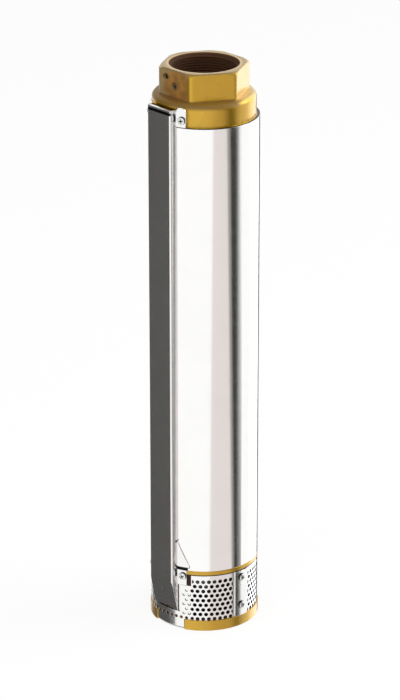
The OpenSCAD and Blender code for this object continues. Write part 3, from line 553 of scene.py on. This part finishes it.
# Check valve: turned brass poppet and guide with a rubber face, a turned steel seat,
# a snap ring and a light spring of stainless wire.
valve_brass = bright_bar("valve_brass", (0.60, 0.42, 0.15), 0.28, 2200.0)
wear(valve_brass, "valve_guide", "valve_poppet")
valve_steel = bright_bar("valve_steel", (0.52, 0.52, 0.53), 0.26, 2800.0)
wear(valve_steel, "valve_seat", "valve_circlip", "valve_washer", "valve_screw")

spring_turns, spring_r, wire_r = 6.5, 0.0106, 0.0006
spring_low, spring_high, lift = 0.46505, 0.48595, 0.010


def coil(turns, radius, wire, low, high, steps, sides):
    """Wire carried along a helix: the turn runs evenly, the rise is flat for three quarters
    of a turn at each end, and both ends close to a point."""
    t = np.linspace(0, turns, steps)[:, None]
    s = np.linspace(0, 2 * np.pi, sides, endpoint=False)[None, :]
    rise = np.clip((t - 0.75) / (turns - 1.5), 0, 1)
    middle = low + wire + (high - low - 2 * wire) * rise
    thick = wire * np.clip(np.minimum(np.arange(steps), np.arange(steps)[::-1]), 0, 1)[:, None]
    reach = radius + thick * np.cos(s)
    return np.stack([reach * np.cos(2 * np.pi * t), reach * np.sin(2 * np.pi * t),
                     middle + thick * np.sin(s)], -1)


spring = surface("valve_spring_wire", coil(
    spring_turns, spring_r, wire_r, spring_low, spring_high, 260, 12), around=True)
spring.data.materials.append(valve_steel)
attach(spring, "pump_body")
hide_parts("valve_spring")
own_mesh(spring)


# Discharge head: bronze casting with a turned collar and a milled hexagon. The bore
# has a pipe thread cut into it for the riser, with its crests rounded.
mouth_r, mouth_soft = 0.0306, 0.0006
shoulder_low_z, shoulder_z, shoulder_soft, shoulder_in_r = 0.4942, 0.4968, 0.0016, 0.0345
shoulder_shade_from, shoulder_shade_to, shoulder_shade_strength = -2.4, 1.45, 0.72


def shade_in_bore_and_shoulder(tree, x, y, z, radius, turn):
    """Painted shade: the bore and its mouth, and the shoulder at the foot of the hexagon on the side of
    the guard, are turned dark brown and matt."""
    bore = ramp(tree, radius, mouth_r + mouth_soft, mouth_r)
    shoulder = calc(tree, "MULTIPLY", ramp(tree, z, shoulder_low_z - 0.0034, shoulder_low_z),
                    ramp(tree, z, shoulder_z + shoulder_soft, shoulder_z))
    corner = calc(tree, "MULTIPLY", shoulder, ramp(tree, radius, shoulder_in_r - 0.0015, shoulder_in_r))
    shaded_shoulder = calc(tree, "MULTIPLY", corner, between(tree, turn, shoulder_shade_from, shoulder_shade_to, 0.3))
    return calc(tree, "MAXIMUM", bore, calc(tree, "MULTIPLY", shaded_shoulder, shoulder_shade_strength))


def squared_distance(tree, x, z, middle_x, middle_z, half_x, half_z):
    """Square of the distance from a point on the flat, in units of an ellipse's half axes."""
    across = calc(tree, "DIVIDE", calc(tree, "SUBTRACT", x, middle_x), half_x)
    upward = calc(tree, "DIVIDE", calc(tree, "SUBTRACT", z, middle_z), half_z)
    return calc(tree, "ADD", calc(tree, "MULTIPLY", across, across),
                calc(tree, "MULTIPLY", upward, upward))


# stains on the flat: middle across, middle height, half width and half height of each
rust_spot = (0.0035, 0.5065, 0.0165, 0.020)
bleed_smudge = (-0.0103, 0.5141, 0.0042, 0.0026)
screw_smudge = (0.0, 0.5071, 0.0046, 0.0042)
flat_y, flat_end_x, flat_foot_z, head_top_z, mouth_edge_r = -0.0346, 0.0150, 0.4975, 0.5211, 0.0335
rust_dark, rust_light = (0.27, 0.12, 0.04, 1), (0.52, 0.225, 0.05, 1)
worked_brown, bare_tan = (0.15, 0.065, 0.028, 1), (0.40, 0.29, 0.16, 1)
bleed_brown, top_shade_grey = (0.06, 0.035, 0.012, 1), (0.17, 0.125, 0.09, 1)


def flat_film_and_top_shade(tree, x, y, z, radius, turn):
    """Matt film on the flat of the hexagon that faces the guard: tan at the far end, orange
    and brown in ragged patches round the lock screw, below it and round the bleed hole.
    Outside the mouth the top face is turned a darker matt grey: painted shade."""
    side = calc(tree, "MULTIPLY", ramp(tree, y, flat_y + 0.001, flat_y),
                ramp(tree, x, flat_end_x + 0.0038, flat_end_x))
    flat = calc(tree, "MULTIPLY", side, ramp(tree, z, flat_foot_z - 0.0013, flat_foot_z))
    patches = put(tree, "TexNoise", {
        "Vector": put(tree, "TexCoord").outputs["Object"],
        "Scale": 110.0, "Detail": 5.0, "Roughness": 0.6}).outputs[0]
    ragged = calc(tree, "MULTIPLY", calc(tree, "SUBTRACT", patches, 0.5), 1.4)
    rust = ramp(tree, calc(tree, "ADD", ragged, squared_distance(tree, x, z, *rust_spot)), 1.3, 0.4)
    smudge = ramp(tree, calc(tree, "ADD", ragged, squared_distance(tree, x, z, *bleed_smudge)), 1.5, 0.6)
    brown = blend(tree, ramp(tree, patches, 0.32, 0.68), rust_dark, rust_light)
    worked = ramp(tree, squared_distance(tree, x, z, *screw_smudge), 1.2, 0.5)
    brown = blend(tree, worked, brown, worked_brown)
    colour = blend(tree, rust, bare_tan, brown)
    colour = blend(tree, smudge, colour, bleed_brown)
    top = calc(tree, "MULTIPLY", ramp(tree, z, head_top_z - 0.0011, head_top_z),
               ramp(tree, radius, mouth_edge_r - 0.0013, mouth_edge_r))
    colour_and_top_shade = blend(tree, top, colour, top_shade_grey)
    film = calc(tree, "MAXIMUM", calc(tree, "MULTIPLY", flat, 0.8), calc(tree, "MULTIPLY", top, 0.55))
    return film, colour_and_top_shade


head_bronze = bronze("head_bronze", 0.0034, (0.085, 0.03, 0.007), shade_in_bore_and_shoulder, flat_film_and_top_shade)
wear(head_bronze, "discharge_head")

thread_r, thread_pitch, thread_depth = 0.0299, 0.002309, 0.00148
thread_low, thread_high = 0.4962, 0.5198


def pipe_thread(steps_per_turn=72):
    """Ridge carried along a helix inside the bore: its section has nearly straight flanks and a
    flat crest with soft edges, about one pitch wide, and fades out over half a turn at both ends."""
    turns = (thread_high - thread_low) / thread_pitch
    t = np.linspace(0, turns, int(turns * steps_per_turn))[:, None]
    s = np.linspace(-0.5, 0.5, 13)[None, :]
    fade = np.clip(np.minimum(t, turns - t) * 2, 0, 1)
    crest = np.clip(1.22 * (1 - 2 * np.abs(s)), 0, 1)
    crest = crest * crest * (3 - 2 * crest) * 0.35 + crest * 0.65
    reach = thread_r - thread_depth * crest * fade
    height = thread_low + thread_pitch * (t + 0.96 * s)
    return np.stack([reach * np.cos(2 * np.pi * t), reach * np.sin(2 * np.pi * t), height], -1)


riser_thread = surface("riser_thread", pipe_thread())
riser_thread.data.materials.append(head_bronze)
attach(riser_thread, "pump_body")


# Strainer: perforated stainless sheet rolled round the bracket and lapped at its seam.
# The punch leaves a rolled rim round each hole; the dark ring round each hole and the dark inner face
# are painted shade.
strainer_r, hole_columns, hole_rows = 0.0484, 59, 9
first_hole_z, hole_pitch_z, hole_r = 0.0114, 0.0046125, 0.0015
lap_from, lap_to, behind_guard = math.radians(80), math.radians(100), math.radians(33)
strainer_shade_black = (0.02, 0.02, 0.02, 1)


def from_nearest_hole(tree, z, turn):
    """Distance in metres from the middle of the nearest hole of the staggered pattern: the
    row by height, the column by turn, and every other row half a column on."""
    row = calc(tree, "DIVIDE", calc(tree, "SUBTRACT", z, first_hole_z), hole_pitch_z)
    nearest = calc(tree, "MAXIMUM", calc(tree, "ROUND", row), 0.0)
    nearest = calc(tree, "MINIMUM", nearest, hole_rows - 1.0)
    odd = calc(tree, "MULTIPLY", calc(tree, "MODULO", calc(tree, "ADD", nearest, 1.0), 2.0), 0.5)
    column = calc(tree, "SUBTRACT", calc(tree, "MULTIPLY", turn, hole_columns / (2 * math.pi)), odd)
    sideways = calc(tree, "MULTIPLY", calc(tree, "SUBTRACT", column, calc(tree, "ROUND", column)),
                    2 * math.pi * strainer_r / hole_columns)
    upward = calc(tree, "MULTIPLY", calc(tree, "SUBTRACT", row, nearest), hole_pitch_z)
    return calc(tree, "SQRT", calc(tree, "ADD", calc(tree, "MULTIPLY", sideways, sideways),
                                   calc(tree, "MULTIPLY", upward, upward)))


strainer_steel = bright_sheet("strainer_steel", (0.95, 0.945, 0.93), 0.12, 1.2, 0.4, 0.03)
tree = strainer_steel.node_tree
shader = tree.nodes["Principled BSDF"].inputs
x, y, z, radius, turn = around_shaft(tree)
inner_face = ramp(tree, radius, strainer_r - 0.00005, strainer_r - 0.0004)
darken(strainer_steel, strainer_shade_black, inner_face)
plain = calc(tree, "MAXIMUM", between(tree, turn, lap_from, lap_to, 0.02),
             between(tree, turn, -behind_guard, behind_guard, 0.02))
from_hole = from_nearest_hole(tree, z, turn)
# painted shade: a dark ring round each hole, outside the lap and the guard's foot
darken(strainer_steel, strainer_shade_black, calc(
    tree, "MULTIPLY", calc(tree, "SUBTRACT", 1.0, plain),
    ramp(tree, from_hole, hole_r + 0.00044, hole_r + 0.00022)))
rim = calc(tree, "MAXIMUM", plain, ramp(tree, from_hole, hole_r, hole_r + 0.0006))
rolled = put(tree, "Bump", {
    "Strength": 0.5, "Distance": 0.0003, "Height": rim,
    "Normal": shader["Normal"].links[0].from_socket})
tree.links.new(rolled.outputs[0], shader["Normal"])
wear(strainer_steel, "strainer")


# Screws: stainless pan heads with a crossed recess. Two hold the strainer's lap to
# the bracket and four hold the cable guard. The grub screw in the hexagon is rusty.
pan_foot_r, pan_soft = 0.0506, 0.0006
screw_steel = bright_bar("screw_steel", (0.80, 0.80, 0.79), 0.16, 2000.0)
tree = screw_steel.node_tree
x, y, z, radius, turn = around_shaft(tree)
# painted shade: each head is black near its seat, where it meets the lug or the strainer
darken(screw_steel, (0.03, 0.03, 0.03, 1), ramp(tree, radius, pan_foot_r + pan_soft, pan_foot_r))
wear(bright_bar("rusty_screw_steel", (0.16, 0.09, 0.045), 0.5, 2000.0), "riser_lock_screw")


def pan_heads(places):
    """Screws at (turn from the guard in degrees, height, seat radius, twist in degrees).
    A profile in millimetres runs from the shank's end out over the seat and up the pan to its
    middle; there the crossed recess is cut as two arms that deepen towards the middle."""
    turn, level, seat, twist = np.array(places, float).T[..., None, None]
    profile = np.array([
        [0, -9], [1.7, -9], [1.95, -8.6], [1.95, -0.1], [3.35, 0], [3.55, 0.12], [3.6, 0.4],
        [3.58, 0.8], [3.5, 1.15], [3.36, 1.45], [3.15, 1.72], [2.9, 1.93]])
    crown_r, crown_top, crown_fall = 2.65, 2.4, 0.052
    arm_half, arm_reach, arm_depth = 0.62, 2.15, 1.45
    crown = np.linspace(crown_r, 0, 30)
    reach = np.concatenate([profile[:, 0], crown])[:, None]
    rise = np.concatenate([profile[:, 1], crown_top - crown_fall * crown ** 2])[:, None]
    angle = np.linspace(0, 2 * np.pi, 120, endpoint=False)[None, :]
    u, v = reach * np.cos(angle), reach * np.sin(angle)
    narrow, wide = np.minimum(abs(u), abs(v)), np.maximum(abs(u), abs(v))
    arm = np.clip((arm_half - 0.1 * wide - narrow) / 0.16, 0, 1)
    arm = arm * np.clip((arm_reach - wide) / 0.25, 0, 1)
    rise = np.where(rise > 1.9, rise - arm * (arm_depth - 0.3 * wide), rise + 0 * angle)
    c, s = np.cos(np.radians(twist)), np.sin(np.radians(twist))
    right, up = (c * u - s * v) / 1000, (s * u + c * v) / 1000
    out = seat + rise / 1000
    a = np.radians(turn)
    return np.stack([out * np.sin(a) + right * np.cos(a),
                     -out * np.cos(a) + right * np.sin(a), level + up], -1)


lap_turn, lap_seat_r = 90, 0.0493
lug_turn, lug_seat_r, upper_lug_z, lower_lug_z = 23.7, 0.0494, 0.4833, 0.05325
strainer_screws = surface("strainer_screw_heads", pan_heads([
    (lap_turn, 0.0203, lap_seat_r, 20), (lap_turn, 0.0478, lap_seat_r, 65)]), around=True)
guard_screws = surface("guard_screw_heads", pan_heads([
    (lug_turn, upper_lug_z, lug_seat_r, 12), (-lug_turn, upper_lug_z, lug_seat_r, 50),
    (lug_turn, lower_lug_z, lug_seat_r, 33), (-lug_turn, lower_lug_z, lug_seat_r, 5)]), around=True)
for heads, node in ((strainer_screws, "strainer_screws"), (guard_screws, "guard_screws")):
    heads.data.materials.append(screw_steel)
    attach(heads, "pump_body")
    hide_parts(node)


# Cable guard: folded stainless channel that covers the motor lead, with lugs under
# the four screws and its foot tucked behind the strainer.
flap_gap_low_z, flap_gap_high_z, flap_back_r = 0.0594, 0.0618, 0.0500
lip_low_z, lip_high_z, guard_front_y = 0.4879, 0.4902, -0.0530
guard_steel = bright_sheet("guard_steel", (0.93, 0.925, 0.915), 0.13, 8.0, 0.6, 0.1)
tree = guard_steel.node_tree
x, y, z, radius, turn = around_shaft(tree)
# painted shade: black in the slit between the lug and the flap, and a black line on the face under the
# top lip
guard_slit_shade = calc(
    tree, "MULTIPLY", between(tree, z, flap_gap_low_z, flap_gap_high_z, 0.0008),
    ramp(tree, radius, flap_back_r + 0.0008, flap_back_r))
lip_shade_line = calc(
    tree, "MULTIPLY", between(tree, z, lip_low_z, lip_high_z, 0.0003),
    ramp(tree, y, guard_front_y + 0.0005, guard_front_y))
darken(guard_steel, (0.015, 0.015, 0.015, 1), calc(tree, "MAXIMUM", guard_slit_shade, lip_shade_line))
wear(guard_steel, "cable_guard")
